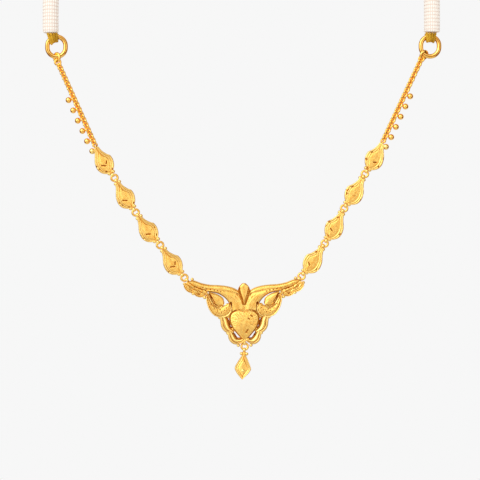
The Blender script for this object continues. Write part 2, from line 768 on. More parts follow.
def stitched_thread(s, effects):
    """Cream thread in close stitches, with a pinkish beige between them."""
    made, t, shader = new_material("stitched_thread")
    stitch = t.mask("stitch")
    grain = t.place(effects["grain"], Size=0.0002)
    tone = t.mapped(stitch, 0.05, 0.75)
    face = t.mixed(tone, rgba(s.seam), rgba(s.thread))
    face = t.mixed(t.math("MULTIPLY", grain["Mottle"], 0.05), face, rgba(s.seam))
    t.put(shader.inputs["Base Color"], face)
    height = t.math("ADD", stitch, t.math("MULTIPLY", grain["Height"], 0.12))
    t.bump(shader, height, 0.4, 0.0001)
    shader.inputs["Roughness"].default_value = 0.7
    shader.inputs["Sheen Weight"].default_value = 0.25
    shader.inputs["Sheen Roughness"].default_value = 0.4
    return made


def twisted_thread(s, effects):
    """Gold-coloured thread, dark between the plies."""
    made, t, shader = new_material("twisted_thread")
    grain = t.place(effects["grain"], Size=0.00018)
    dark = tinted(s.gold_thread, (0.5, 0.42, 0.35))
    face = t.mixed(t.math("MULTIPLY", grain["Mottle"], 0.4), rgba(s.gold_thread), dark)
    inner = t.mask("inner")
    face = t.mixed(t.mapped(inner, 0.2, 0.8, 0.0, 0.75), face, dark)
    t.put(shader.inputs["Base Color"], face)
    t.bump(shader, grain["Height"], 0.3, 0.0001)
    shader.inputs["Specular IOR Level"].default_value = 0.0
    shader.inputs["Roughness"].default_value = 0.6
    return made


EFFECTS = {"grain": ("Grain", grain_effect), "flow": ("Flow", flow_effect),
           "groove": ("Groove tone", groove_effect), "dots": ("Punched dots", dots_effect)}
FINISHES = {"struck_gold": (struck_gold, "necklace_metal"), "wire_gold": (wire_gold, "necklace_metal"),
            "stitched_thread": (stitched_thread, "necklace_cord"),
            "twisted_thread": (twisted_thread, "necklace_cord")}


def material(name):
    """The finish of that name, made on first use with its shared effects."""
    found = bpy.data.materials.get(name)
    if found:
        return found
    effects = {key: bpy.data.node_groups.get(label) or make() for key, (label, make) in EFFECTS.items()}
    make, settings = FINISHES[name]
    return make(getattr(bpy.context.scene, settings), effects)


# Geometry node trees

LINK_SOCKETS = (("Link radius", "Float", 0.0008), ("Wire", "Float", 0.0004), ("Squeeze", "Float", 1.0),
                ("Start", "Vector", None), ("Step", "Vector", None), ("Front", "Vector", None))


def finish_tree(t, geometry):
    geometry = t.out("GeometryNodeRealizeInstances", {"Geometry": geometry})
    shaded = t.out("GeometryNodeSetMaterial", {"Geometry": geometry, "Material": t.given["Material"]})
    t.put(t.result["Geometry"], shaded)
    return t.tree


def link_places(t, count):
    """A point for each of the links, from the group's start on by its step."""
    return t.out("GeometryNodeMeshLine", {"Count": count, "Start Location": t.given["Start"],
                                          "Offset": t.given["Step"]})


def wire_link(t, around=24, across=10):
    """A ring of wire in its own plane, squeezed along X."""
    wire = t.math("MULTIPLY", t.given["Wire"], 0.5)
    spine, section = (t.out("GeometryNodeCurvePrimitiveCircle", {"Resolution": sides, "Radius": radius})
                      for sides, radius in ((around, t.given["Link radius"]), (across, wire)))
    ring = t.out("GeometryNodeCurveToMesh", {"Curve": spine, "Profile Curve": section})
    scale = t.out("ShaderNodeCombineXYZ", {"X": t.given["Squeeze"], "Y": 1.0, "Z": 1.0})
    return t.out("GeometryNodeTransform", {"Geometry": ring, "Scale": scale})


def along_axis(t, vector):
    """The turn that stands a link's axis along the vector and its X along the chain."""
    up = t.out("FunctionNodeAlignRotationToVector", {"Vector": vector}, axis="Z")
    return t.out("FunctionNodeAlignRotationToVector", {"Rotation": up, "Vector": t.given["Step"]}, axis="X",
                 pivot_axis="Z")


def joined(t, first, second):
    """Both geometries as one."""
    both = t.add("GeometryNodeJoinGeometry", {"Geometry": first})
    t.tree.links.new(second, both.inputs[0])
    return both.outputs[0]


def chain_tree():
    """Round links in line, turned across each other, that leave out those with a granule."""
    t = Tree.shaper("Round link chain", ("Links", "Int", 32), ("First bead", "Int", 13),
                    ("Bead step", "Int", 4), ("Bead count", "Int", 5), ("Across", "Vector", None),
                    *LINK_SOCKETS)
    index = t.out("GeometryNodeInputIndex")
    after = t.math("SUBTRACT", index, t.given["First bead"])
    on_step = t.math("COMPARE", t.math("FLOORED_MODULO", after, t.given["Bead step"]), 0.0, 0.1)
    end = t.math("MULTIPLY", t.given["Bead count"], t.given["Bead step"])
    within = t.math("MULTIPLY", t.math("GREATER_THAN", after, -0.5), t.math("LESS_THAN", after, end))
    kept = t.math("SUBTRACT", 1.0, t.math("MULTIPLY", on_step, within))
    edge_on = t.math("LESS_THAN", t.math("FLOORED_MODULO", index, 2.0), 0.5)
    axis = t.out("GeometryNodeSwitch", {"Switch": edge_on, "False": t.given["Front"],
                                        "True": t.given["Across"]}, input_type="VECTOR")
    links = t.out("GeometryNodeInstanceOnPoints",
                  {"Points": link_places(t, t.given["Links"]), "Selection": kept,
                   "Rotation": along_axis(t, axis), "Instance": wire_link(t)})
    return finish_tree(t, joined(t, links, t.given["Geometry"]))


def granule_tree():
    """Links of the chain that carry a granule on their outer side."""
    t = Tree.shaper("Granule links", ("Count", "Int", 5), ("Granule", "Float", 0.0023),
                    ("Outwards", "Vector", None), *LINK_SOCKETS)
    link = t.out("GeometryNodeTransform", {"Geometry": wire_link(t),
                                           "Rotation": along_axis(t, t.given["Front"])})
    granule = t.out("GeometryNodeMeshUVSphere", {"Segments": 24, "Rings": 14,
                                                 "Radius": t.math("MULTIPLY", t.given["Granule"], 0.5)})
    granule = t.out("GeometryNodeTransform", {"Geometry": granule, "Translation": t.given["Outwards"]})
    return finish_tree(t, t.out("GeometryNodeInstanceOnPoints", {"Points": link_places(t, t.given["Count"]),
                                                                 "Instance": joined(t, link, granule)}))


# Mesh rows and columns to a stitch, and the power that shapes it: a lower one makes it fuller
PER_STITCH = 4.0
STITCH_POWER = 0.6


def cord_tree():
    """A cord covered in rows of upright stitches, along a curve."""
    t = Tree.shaper("Thread-wound cord", ("Rows", "Int", 250), ("Columns", "Int", 20),
                    ("Radius", "Float", 0.003), ("Relief", "Float", 0.0002))
    line = t.out("GeometryNodeResampleCurve", {"Curve": t.given["Geometry"],
                                               "Count": t.math("MULTIPLY", t.given["Rows"], PER_STITCH)})
    around = t.math("MULTIPLY", t.given["Columns"], PER_STITCH)
    section = t.out("GeometryNodeCurvePrimitiveCircle", {"Resolution": around, "Radius": t.given["Radius"]})
    tube = t.out("GeometryNodeCurveToMesh", {"Curve": line, "Profile Curve": section, "Fill Caps": True,
                                             "Scale": t.out("GeometryNodeInputRadius")})
    index = t.out("GeometryNodeInputIndex")
    column = t.math("DIVIDE", t.math("FLOORED_MODULO", index, around), PER_STITCH)
    row = t.math("FLOOR", t.math("DIVIDE", t.math("ADD", index, 0.5), around))
    waves = [t.math("ABSOLUTE", t.math("SINE", t.math("MULTIPLY", place, np.pi)))
             for place in (column, t.math("DIVIDE", row, PER_STITCH))]
    stitch = t.math("MULTIPLY", *[t.math("POWER", wave, STITCH_POWER) for wave in waves])
    sunk = t.math("MULTIPLY", t.math("SUBTRACT", stitch, 1.0), t.given["Relief"])
    normal = t.out("GeometryNodeInputNormal")
    push = t.out("ShaderNodeVectorMath", {"Vector": normal, "Scale": sunk}, operation="SCALE")
    stored = t.out("GeometryNodeStoreNamedAttribute", {"Geometry": tube, "Name": "stitch", "Value": stitch},
                   data_type="FLOAT", domain="POINT")
    return finish_tree(t, t.out("GeometryNodeSetPosition", {"Geometry": stored, "Offset": push}))


# Points along a strand, and the place and radius of a ply as shares of the strand's diameter
STRAND_POINTS = 110
PLY_AT, PLY_RADIUS = 0.22, 0.28


def strand_tree():
    """Plies of thread that twist about each other along curves, marked with their place in the row."""
    t = Tree.shaper("Twisted strand", ("Strands", "Int", 4), ("Plies", "Int", 3),
                    ("Diameter", "Float", 0.001), ("Lay", "Float", 0.002))
    line = t.out("GeometryNodeResampleCurve", {"Curve": t.given["Geometry"], "Count": STRAND_POINTS})
    along = t.add("GeometryNodeSplineParameter").outputs["Length"]
    turn = t.math("DIVIDE", t.math("MULTIPLY", along, 2 * np.pi), t.given["Lay"])
    line = t.out("GeometryNodeSetCurveTilt", {"Curve": line, "Tilt": turn})
    share = t.math("DIVIDE", t.out("GeometryNodeInputIndex"), t.given["Strands"])
    line = t.out("GeometryNodeStoreNamedAttribute", {"Geometry": line, "Name": "inner", "Value": share},
                 data_type="FLOAT", domain="CURVE")
    ring_r, ply_r = (t.math("MULTIPLY", t.given["Diameter"], part) for part in (PLY_AT, PLY_RADIUS))
    places = t.out("GeometryNodeMeshCircle", {"Vertices": t.given["Plies"], "Radius": ring_r})
    ply = t.out("GeometryNodeCurvePrimitiveCircle", {"Resolution": 12, "Radius": ply_r})
    plies = t.out("GeometryNodeInstanceOnPoints", {"Points": places, "Instance": ply})
    plies = t.out("GeometryNodeRealizeInstances", {"Geometry": plies})
    return finish_tree(t, t.out("GeometryNodeCurveToMesh", {"Curve": line, "Profile Curve": plies,
                                                            "Fill Caps": True}))


TREES = {"chain": chain_tree, "granules": granule_tree, "cord": cord_tree, "strand": strand_tree}


def grown(name, data, tree, values):
    """The plain mesh that the tree makes from the data with these inputs."""
    group = TREES[tree]()
    obj = bpy.data.objects.new(name + "_source", data)
    bpy.context.scene.collection.objects.link(obj)
    modifier = obj.modifiers.new(group.name, "NODES")
    modifier.node_group = group
    sockets = {i.name: i.identifier for i in group.interface.items_tree
               if i.item_type == "SOCKET" and i.in_out == "INPUT"}
    for label, value in values.items():
        modifier[sockets[label]] = value
    bpy.context.view_layer.update()
    mesh = bpy.data.meshes.new_from_object(obj.evaluated_get(bpy.context.evaluated_depsgraph_get()))
    mesh.name = name
    obj.modifiers.remove(modifier)
    bpy.data.objects.remove(obj)
    face_outwards(mesh)
    return mesh


def curve_data(name, lines):
    """Curve data of plain open lines of points [x, y, z, radius] in metres."""
    data = bpy.data.curves.new(name, "CURVE")
    data.dimensions = "3D"
    for line in lines:
        spline = data.splines.new("POLY")
        spline.points.add(len(line) - 1)
        for point, (x, y, z, radius) in zip(spline.points, line):
            point.co = (x, y, z, 1)
            point.radius = radius
    return data


# Cord and rings

CORD_ROUTE = np.array([
    [72.5, -105, -54.5], [72.5, -105, -48], [72.5, -104, -41], [72.4, -100, -33],
    [72.2, -92, -26], [71.4, -80, -20.5], [68.7, -65, -15.5], [64.2, -48, -11],
    [56.5, -31.5, -7], [46, -16, -3.5], [31, -4, -1.2], [11.5, 2.35, -0.1]])
CORD_ENDS = {"left": 73.6, "right": 71.3}
CORD_END_RISE = 4.8
# Curve steps between two points of the route, and how far and how much the cord's ends are rounded
CORD_STEPS = 14
CORD_ROUNDING, CORD_NARROWER = 0.6, 0.2


def cord_half(side):
    """Half of the cord's route, stretched so that its end lies over the end ring of that side."""
    start = CORD_ROUTE[0]
    p = CORD_ROUTE.copy()
    p[:, 2] *= (ring_high(side)[1] + CORD_END_RISE) / start[2]
    p[:, 0] *= (1 + (CORD_ENDS[side] / start[0] - 1) * p[:, 0] / start[0]) * (-1 if side == "left" else 1)
    return p


class NECKLACE_OT_cord(bpy.types.Operator):
    """Makes the thread-wound neck cord"""
    bl_idname = "necklace.make_cord"
    bl_label = "Make neck cord"

    def execute(self, context):
        s = context.scene.necklace_cord
        line = open_curve(np.concatenate([cord_half("right"), cord_half("left")[::-1]]), CORD_STEPS) * MM
        run = run_along(line)
        far = np.minimum(run, run[-1] - run) / (CORD_ROUNDING * MM)
        size = 1 - CORD_NARROWER * (1 - np.clip(far, 0, 1)) ** 2
        data = curve_data("cord_route", [np.concatenate([line, size[:, None]], 1)])
        thread = material("stitched_thread")
        mesh = grown("neck_cord_stitched", data, "cord",
                     {"Rows": int(round(run[-1] / s.row)), "Columns": s.columns, "Radius": s.diameter / 2,
                      "Relief": s.relief, "Material": thread})
        dressed("neck_cord_stitched", mesh, thread, "necklace", ["neck_cord"])
        return {"FINISHED"}


# Strands: the first one's angle on the end ring, the angle between two, and their slant as a share of it
STRAND_COUNT = 4
STRAND_STARTS = {"left": -3.0, "right": -21.0}
STRAND_STEP, STRAND_LEAN = 16.0, 0.42
# The gap between strand and ring, how far below the cord's end a strand ends, and the points of its legs
STRAND_GAP, STRAND_END = 0.45, 0.1
LEG_SHARES = (1, 0.66, 0.33)


class NECKLACE_OT_thread_loops(bpy.types.Operator):
    """Makes the gold thread loops that hold the end rings"""
    bl_idname = "necklace.make_thread_loops"
    bl_label = "Make thread loops"

    def execute(self, context):
        s = context.scene.necklace_cord
        bend = RING_WIRE / 2 + STRAND_GAP + s.strand / MM / 2
        for side in SIDES:
            lines = []
            for i in range(STRAND_COUNT):
                angle = STRAND_STARTS[side] + i * STRAND_STEP
                slant = STRAND_LEAN * angle
                foot = RING_R * np.array([np.sin(np.radians(angle)), np.cos(np.radians(angle))])
                leg = (CORD_END_RISE - STRAND_END - foot[1]) / np.cos(np.radians(slant))
                arc = np.radians(np.linspace(0, 180, 25))
                path = np.concatenate([
                    [[0, leg * k, bend] for k in LEG_SHARES],
                    np.stack([0 * arc, -bend * np.sin(arc), bend * np.cos(arc)], -1),
                    [[0, leg * k, -bend] for k in LEG_SHARES[::-1]]])
                path = at(path, foot + ring_high(side), slant)
                lines.append(np.concatenate([world(path, side), np.ones((len(path), 1))], 1))
            lines = pick(side, lines[::-1], lines)
            thread = material("twisted_thread")
            mesh = grown(f"thread_loop_{side}", curve_data("strands", lines), "strand",
                         {"Strands": STRAND_COUNT - 1, "Plies": 3, "Diameter": s.strand, "Lay": s.lay,
                          "Material": thread})
            dressed(f"thread_loop_{side}", mesh, thread, "necklace", [f"cord_loop_{side}"])
        return {"FINISHED"}


def jump_ring(centre, link, side="right"):
    shell = Shell()
    torus(shell, [*centre, 0], FACING, link.jump / MM, link.wire / MM, 56, 18, side)
    return shell


class NECKLACE_OT_rings(bpy.types.Operator):
    """Makes the end rings and the jump rings"""
    bl_idname = "necklace.make_rings"
    bl_label = "Make rings"

    def execute(self, context):
        chain, link = context.scene.necklace_chain, context.scene.necklace_links
        gold = material("wire_gold")
        for side in SIDES:
            shell = Shell()
            sizes = [v / MM for v in (chain.ring, chain.ring_side, chain.ring_wire)]
            oval_ring(shell, ring_low(side), *sizes, side)
            shell.piece(f"ring_{side}", gold, "necklace", [f"end_ring_{side}"], "polished_gold")
            for i in range(1, len(LINK_SLANTS[side]) + 1):
                shell = jump_ring(hang_point(side, i), link, side)
                shell.piece(f"jump_{side}_{i}", gold, "necklace", [f"jump_ring_{side}_{i}"], "polished_gold")
        jump_ring(DROP_AT, link).piece("jump_drop", gold, "drop", ["drop_ring"], "polished_gold")
        return {"FINISHED"}


class NECKLACE_OT_chains(bpy.types.Operator):
    """Makes the two chains and the links that carry granules"""
    bl_idname = "necklace.make_chains"
    bl_label = "Make chains"

    def execute(self, context):
        s = context.scene.necklace_chain
        gold = material("wire_gold")
        for side in SIDES:
            down, origin = lean(CHAIN_SLANTS[side]), world([0, 0, 0], side)
            ahead, outwards = (world([*v, 0], side) - origin for v in (down, -turned(down, -90)))
            first, below = Shell(), lean(FIRST_SLANTS[side])
            torus(first, [*(ring_foot(side) + FIRST_AT * below), 0],
                  np.append(turned(below, 90) * np.cos(s.first_turn), np.sin(s.first_turn)),
                  FIRST_R, s.first_wire / MM, 48, 18, side)
            second = [*on_chain(side, second_at(side)), 0]
            torus(first, second, FACING, SECOND_R[side], s.wire / MM, 40, 12, side)
            data = bpy.data.meshes.new("first_links")
            data.from_pydata(np.concatenate(first.points).tolist(), [], first.faces)
            rear, out = np.array([0, 1, 0]), outwards / MM
            cos, sin = np.cos(s.turn), np.sin(s.turn)
            common = {"Link radius": s.radius, "Wire": s.wire, "Squeeze": s.squeeze, "Material": gold,
                      "Front": rear * cos + out * sin}
            mesh = grown(f"chain_links_{side}", data, "chain",
                         {"Links": s.links, "First bead": FIRST_BEAD, "Bead step": BEAD_STEP,
                          "Bead count": BEAD_COUNT, "Across": out * cos - rear * sin,
                          "Start": world([*on_chain(side, chain_at(side)), 0], side),
                          "Step": ahead * s.pitch / MM, **common})
            dressed(f"chain_links_{side}", mesh, gold, "necklace", [f"chain_{side}"])
            start = on_chain(side, chain_at(side) + FIRST_BEAD * CHAIN_PITCH)
            mesh = grown(f"granule_links_{side}", bpy.data.meshes.new("none"), "granules",
                         {"Count": BEAD_COUNT, "Granule": s.bead, "Start": world([*start, 0], side),
                          "Step": ahead * BEAD_STEP * s.pitch / MM,
                          "Outwards": outwards * BEAD_OUT - ahead * BEAD_UP, **common})
            dressed(f"granule_links_{side}", mesh, gold, "necklace",
                    [f"bead_link_{side}_{i}" for i in range(1, BEAD_COUNT + 1)])
        return {"FINISHED"}


# Tear-drop links

PLATE_ROWS = [
    [0, 0.95, 1], [1.9, 1.25, 1.85], [3.9, 2.2, 3.1], [5.2, 3.1, 3.65],
    [7.2, 3.1, 3.95], [9.1, 2.35, 3.4], [10.4, 1.2, 2.05], [11.1, 0.4, 0.6]]
# Pairs of granules at a plate's foot and head, as x, y, h and diameter, and the larger one on the first plate
FOOT_GRANULES = (0.9, 0.1 - PLATE_LEN, 0.15, 1.3)
HEAD_GRANULES = (0.88, -0.05, 0.2, 1.3)
HEAD_BEAD = (1.95, -0.25, 0)
# Strokes in a field: x, y, length, slope, half-width and depth
LONG_STROKE = (1.05, -7.35, 1.5, 31, 0.36, 0.4)
SHORT_STROKE = (-0.5, -6.75, 0.95, -48, 0.32, 0.38)
LINK_STROKES = {
    "left": ((LONG_STROKE, SHORT_STROKE), (LONG_STROKE,),
             (LONG_STROKE, (-0.7, -6.9, 0.8, -50, 0.16, 0.12)), (LONG_STROKE, SHORT_STROKE)),
    "right": (((1.1, -7.5, 1.0, 24, 0.32, 0.36),), ((0.9, -7.2, 1.2, 30, 0.16, 0.1),),
              ((-0.3, -7.4, 1.2, 152, 0.3, 0.3),), ((-0.35, -7.65, 1.2, 143, 0.3, 0.3),))}
# The right plates' fields are flatter by this much
FLATTER = 0.15
# Nicks in a rim: their half-width, length and depth, and where they lie
NICK_WIDTH = {"left": 0.25, "right": 0.34}
NICK_LENGTH, NICK_DEPTH = 0.5, 0.3
LINK_NICKS = {
    "left": (((3.5, -6.3), (3.1, -7.7), (1.3, -9.7), (-1.0, -10.0)),
             ((1.8, -1.3), (3.2, -4.0), (3.4, -7.1), (2.7, -8.4), (1.0, -10.3), (-1.3, -9.8)),
             ((2.8, -2.7), (3.8, -6.1), (3.4, -7.6), (-2.5, -6.7), (-1.3, -9.4)),
             ((1.9, -1.5), (3.0, -3.5), (3.4, -8.0))),
    "right": (((-1.7, -4.7), (-2.2, -8.0), (3.3, -8.3), (3.3, -4.8), (-0.4, -10.7)),
              ((-1.5, -4.5), (-2.5, -6.6), (-2.1, -7.9), (3.7, -7.4), (3.8, -5.2), (2.7, -2.9)),
              ((-0.4, -2.1), (-2.4, -5.1), (-2.7, -7.1), (-0.4, -9.9), (3.5, -7.3), (2.7, -3.1)),
              ((-0.8, -2.3), (3.3, -7.8), (2.9, -3.6)))}


def nick(x, y, size, near=0.3):
    """A nick along the rim, with the slope that the plate's edge has near it."""
    down, *wide = np.transpose(PLATE_ROWS)
    above, below = np.interp([-y - near, -y + near], down, wide[int(x > 0)]) * np.sign(x)
    return (x, y, NICK_LENGTH, np.degrees(np.arctan2(-2 * near, below - above)), size, NICK_DEPTH)


def eye(shell, place, slant, radius, wire, side="right", band=None):
    """An eye edge-on to the viewer, in line with its slanting piece."""
    torus(shell, [*place, 0], np.append(turned([1, 0], -slant), 0), radius, wire, 28, 14, side, band)


def link_eye(shell, place, slant, s, side="right"):
    """An eye of flat wire, with the settings s of the links."""
    eye(shell, place, slant, s.eye / MM, s.eye_wire / MM, side, band=s.eye_band / MM)


class NECKLACE_OT_tear_links(bpy.types.Operator):
    """Makes the tear-drop links with their eyes and granules"""
    bl_idname = "necklace.make_tear_links"
    bl_label = "Make tear-drop links"

    def execute(self, context):
        s, chain = context.scene.necklace_links, context.scene.necklace_chain
        high = s.rim_height / MM
        bands = (s.rim / MM, high, 0.6), (s.band / MM, high + 0.06, 0.45)
        relief = Relief(bands, s.field / MM, s.back / MM, edge=0.6, gutter=0.15, depth=0.2, fine=20,
                        lines=(4,))
        rows = [[0, -y, inner, outer] for y, inner, outer in PLATE_ROWS]
        for side in SIDES:
            relief.field_top = s.field / MM - pick(side, 0, FLATTER)
            for i, slant in enumerate(LINK_SLANTS[side]):
                shell = Shell()
                hang = hang_point(side, i)
                top = FIRST_EYE_PAST if i == 0 else EYE_PAST + REACH[side]
                start = hang + top * lean(slant)

                def place(p):
                    return at(p, start, slant)

                marks = [*LINK_STROKES[side][i], *(nick(*p, NICK_WIDTH[side]) for p in LINK_NICKS[side][i])]
                leaf(shell, rows, relief, place, 12, 0.2, marks, side=side)
                link_eye(shell, start + (PLATE_LEN + EYE_PAST) * lean(slant), slant, s, side)
                granule_pair(shell, place, *FOOT_GRANULES, side)
                if i:
                    link_eye(shell, start - EYE_PAST * lean(slant), slant, s, side)
                    granule_pair(shell, place, *HEAD_GRANULES, side)
                else:
                    eye(shell, hang, slant, LINK_R, CHAIN_WIRE, side)
                    ball(shell, place(np.array(HEAD_BEAD)), chain.bead / MM, side, 24, 14)
                shell.piece(f"tear_link_{side}_{i + 1}", material("struck_gold"), "necklace",
                            [f"link_{side}_{i + 1}"], "satin_gold")
        return {"FINISHED"}


# Pendant, on its right half, with y from its upper edge

# Leaves as rows of x, y and half-width, or of x, y and the half-widths on the left and right of the way
WING = [[20.95, 0.98, 0.15], [20.1, 0.6, 0.75], [19, 0.2, 1.1], [16.5, -0.8, 1.15], [13.2, -1.6, 1.25],
        [10, -1.95, 1.4], [7, -2.35, 1.45], [4.4, -2.9, 1.3], [2.4, -3.6, 0.9]]
SHOULDER = [[14.2, -2.7, 0.35, 0.35], [11.5, -2.65, 0.7, 0.7], [9, -3.2, 1.1, 0.95], [6.6, -4.4, 1.8, 1.3],
            [4.5, -5.9, 2.9, 2.0], [3.1, -7.7, 3.0, 2.5], [2.6, -9.4, 2.6, 2.6], [2.6, -11.4, 2.5, 2.5]]
HOOK = [[14.2, -3.3, 0.35, 0.35], [13.85, -5, 0.7, 0.7], [13.25, -7.1, 1, 1], [12.2, -9.1, 1.35, 1.35],
        [10.7, -10.65, 1.7, 1.6], [8.9, -11.1, 2.05, 1.85], [7.2, -10.4, 2.35, 2.1], [6.2, -9.3, 1.95, 1.6],
        [5.8, -8.1, 1.2, 0.9]]
BUD = [[13.4, -3.3, 0.2, 0.2], [12.5, -4.1, 1, 0.8], [11.4, -5.2, 1.75, 1.4], [10.2, -6.4, 2.15, 1.75],
       [9.1, -7.3, 2, 1.6], [8.3, -7.9, 1.2, 0.8]]
PETAL = [[0, -0.45, 1.1], [0, -0.9, 1.6], [0, -1.6, 1.95], [0, -2.5, 1.95], [0, -4.1, 1.45], [0, -5.9, 0.78],
         [0, -7.8, 0.1]]
UPPER_SCROLL = [[8.3, -12.6, 1.15, 1], [7.9, -14.3, 1.5, 1.25], [7.45, -16.2, 1.6, 1.35],
                [6.4, -17.6, 1.35, 1.2], [4.7, -18.3, 0.8, 0.8]]
LOWER_SCROLL = [[5.45, -18.4, 0.7, 0.6], [5.3, -19.6, 1.25, 1], [4.7, -21.1, 1.4, 1.2],
                [3.45, -22.1, 1.35, 1.1], [1.9, -21.95, 0.9, 0.75], [0.5, -21.35, 0.5, 0.5]]
END_SCROLL = [[22.4, 0, 0.5], [22.1, -1.2, 0.65], [21.1, -2.3, 0.75], [19.5, -3, 0.7]]
NEAR_SCROLL = [[19, -3.3, 0.55], [17.9, -4.1, 0.7], [16.6, -4.5, 0.7], [15.2, -4.4, 0.6]]
# Low floors under the leaves, which join them
END_FLOOR = [[21.6, 0.15, 1], [20.4, -1, 1.3], [18.6, -2.1, 1.4], [16.4, -3, 1.4], [14.3, -3.6, 0.9]]
BUD_FLOOR = [[13.6, -4, 0.4], [12.4, -6.4, 0.9], [10.8, -8.4, 1], [8.8, -9.2, 0.9]]
HOOK_FLOOR = [[5, -9, 1], [5.4, -11, 1.2], [6.1, -12.6, 1.1]]
SCROLL_FLOOR = [[4, -17.2, 0.8], [4.9, -18, 0.9], [5.7, -18.6, 0.7]]
PETAL_FLOOR = [[0, -1, 1.2], [0, -2.4, 2.3], [0, -4.5, 4], [0, -8, 3.6], [0, -11.6, 3]]
# The end of the lower scroll that crosses the middle under the heart's tip
CROSSING = [[1.5, -21, 0.3], [0.7, -21.35, 0.42], [-0.3, -21.85, 0.42], [-1.25, -22.35, 0.38],
            [-2.1, -22.85, 0.25]]
# Half of the heart's outline, from its notch to its tip, and the point that its strokes run towards
HEART_SIDE = [[0, -10.95], [1, -10.5], [2.4, -10.35], [3.9, -10.8], [4.95, -11.8], [5.3, -13.2],
              [5.1, -14.9], [4.4, -16.5], [3.2, -18.2], [1.7, -20], [0, -21.7]]
HEART_CENTRE = (0, -14.8)
# The line pressed round it follows its outline, grown by this share, down to this height
LINE_GROWTH, LINE_FOOT = 1.04, -13
# The length, half-width and depth of the strokes that press it
LINE_STROKE, LINE_WIDTH, LINE_DEPTH = 0.5, 0.34, 0.6
# The floor under the heart has its outline, grown by these shares about the dome's middle
FRAME_GROWTH = (1.1, 1.06)
# The heart's dome: its middle, and the reach from there to where it is only as high as its edge
DOME_MIDDLE, DOME_REACH, DOME_EDGE = (0, -15), 6.6, 1
# Rows of the heart's edge: distance from the outline, height on the dome (none: its back), groove and shine
HEART_EDGE = ((0, None, 0.1, 0.4), (0, -0.75, 0.7, 0.4), (0, -0.3, 0.55, 0.6), (0.06, -0.1, 0.25, 0.8),
              (0.18, 0.0, 0.0, 0.5), (0.34, 0.0, 0.0, 0.1))
HEART_ROWS = 42
# Fine strokes on the heart: rings of them by distance and number, the angles they cover, half-width and depth
STROKE_RINGS = ((4.6, 26), (3.5, 20), (2.4, 13))
STROKE_FROM, STROKE_SPAN = -25, 230
STROKE_WIDTH, STROKE_DEPTH, STROKE_TONE = 0.17, 0.09, 0.55
# How far they keep from the outline, and the seed of their places
STROKE_INSET, STROKE_SEED = 0.4, 7
# Each leaf's back lies this much before the last one's, so that no two share a plane
BACK_STEP = 0.01
# A leaf's first band lies this much under its height, and each further one this much higher
BAND_SINK, BAND_RISE = 0.14, 0.05
# What the dark ground under the scrolls is wider by, on their inner and outer sides
GROUND_WIDER = (0.55, -0.1)
# How far in front of the mid-plane granules stand, and the granules as x, y and diameter
GRANULE_RISE = 0.2
GRANULES = [[22.6, 0, 1.2], [19.35, -3.7, 1.2], [15, -5.2, 1.3], [9.4, -13, 1.1],
            [6.4, -18.9, 1.2], [2.4, -23.55, 1.25], [19.6, 1.75, 1.2]]
# The dark ground that the petal stands on
PETAL_GROUND = [[2.0, -1.5], [2.28, -2.4], [2.12, -3.2], [1.76, -4.4], [1.08, -6.2], [0.42, -8.1]]
# Marks are x, y, length, slope, half-width and depth: short lines beside the petal, the line between
# shoulder and hook, and punched dots along the wings and hooks
PETAL_LINES = [(2.6, -4.2, 1.0, 72, 0.22, 0.2), (3.1, -5.3, 0.8, 72, 0.2, 0.15)]
HOOK_LINE = [(4.95, -9.2, 3.8, 88, 0.45, 0.7)]
WING_DOTS = [(x, y, 0.12, 0, 0.32, 0.3) for x, y in
             ((15.7, -1.5), (14.1, -1.85), (12.6, -2.1), (11.2, -2.4), (9.9, -2.6), (8.7, -2.95))]
HOOK_DOTS = [(x, y, 0.1, 0, 0.27, 0.25) for x, y in
             ((12.5, -8), (11.3, -9.5), (10, -10.4), (8.5, -10.9), (7.4, -10.2), (6.7, -9.3), (9.1, -9.9))]
# The dark slot between the bud and the hook, and slits and lumps of the curls under the wing's end
BUD_SLOT = [(12.35, -5.6, 3.4, 62, 0.55, 0.9), (10.6, -8.4, 1.8, 40, 0.5, 0.7)]
END_SLITS = [(20.2, -0.6, 1.2, 40, 0.3, 0.5), (18.6, -1.6, 1.3, 25, 0.3, 0.5),
             (16.3, -2.6, 1.2, 18, 0.32, 0.5), (17.0, -3.9, 0.8, 15, 0.28, 0.5),
             (21.4, -1.2, 0.8, 60, 0.28, 0.5)]
# Lumps from x, y to x, y, with their half-width, of which their ends have a share
LUMP_END = 0.6
END_LUMPS = [(21.75, -0.5, 20.8, -1.9, 0.75), (20.1, -0.55, 18.9, -1.7, 0.6), (19.3, -2.4, 17.8, -3.2, 0.72),
             (17.5, -2.15, 15.8, -2.75, 0.55), (16.6, -3.9, 15.1, -3.85, 0.6)]
HEART_NICKS = [(2.8, -12.3, 0.9, -38, 0.3, 0.2), (1.8, -13.4, 0.9, -38, 0.3, 0.2),
               (0.95, -18.1, 1.2, 52, 0.42, 0.34)]


def heart_outline(grow=1.0, count=240):
    half = open_curve(HEART_SIDE, 8)
    whole = np.concatenate([half, (half * [-1, 1])[-2:0:-1]])
    closed = np.concatenate([whole, whole[:1]])
    run = run_along(closed)
    even = np.linspace(0, run[-1], count + 1)[:-1]
    out = np.stack([np.interp(even, run, closed[:, k]) for k in (0, 1)], -1)
    return (out - HEART_CENTRE) * grow + HEART_CENTRE


def heart_line():
    """Strokes close behind each other that press a line round the heart's upper edge."""
    line = heart_outline(LINE_GROWTH)
    ahead = np.roll(line, -3, 0) - np.roll(line, 3, 0)
    slope = np.degrees(np.arctan2(ahead[:, 1], ahead[:, 0]))
    return [(*p, LINE_STROKE, a, LINE_WIDTH, LINE_DEPTH)
            for p, a in zip(line[::3], slope[::3]) if p[1] > LINE_FOOT]


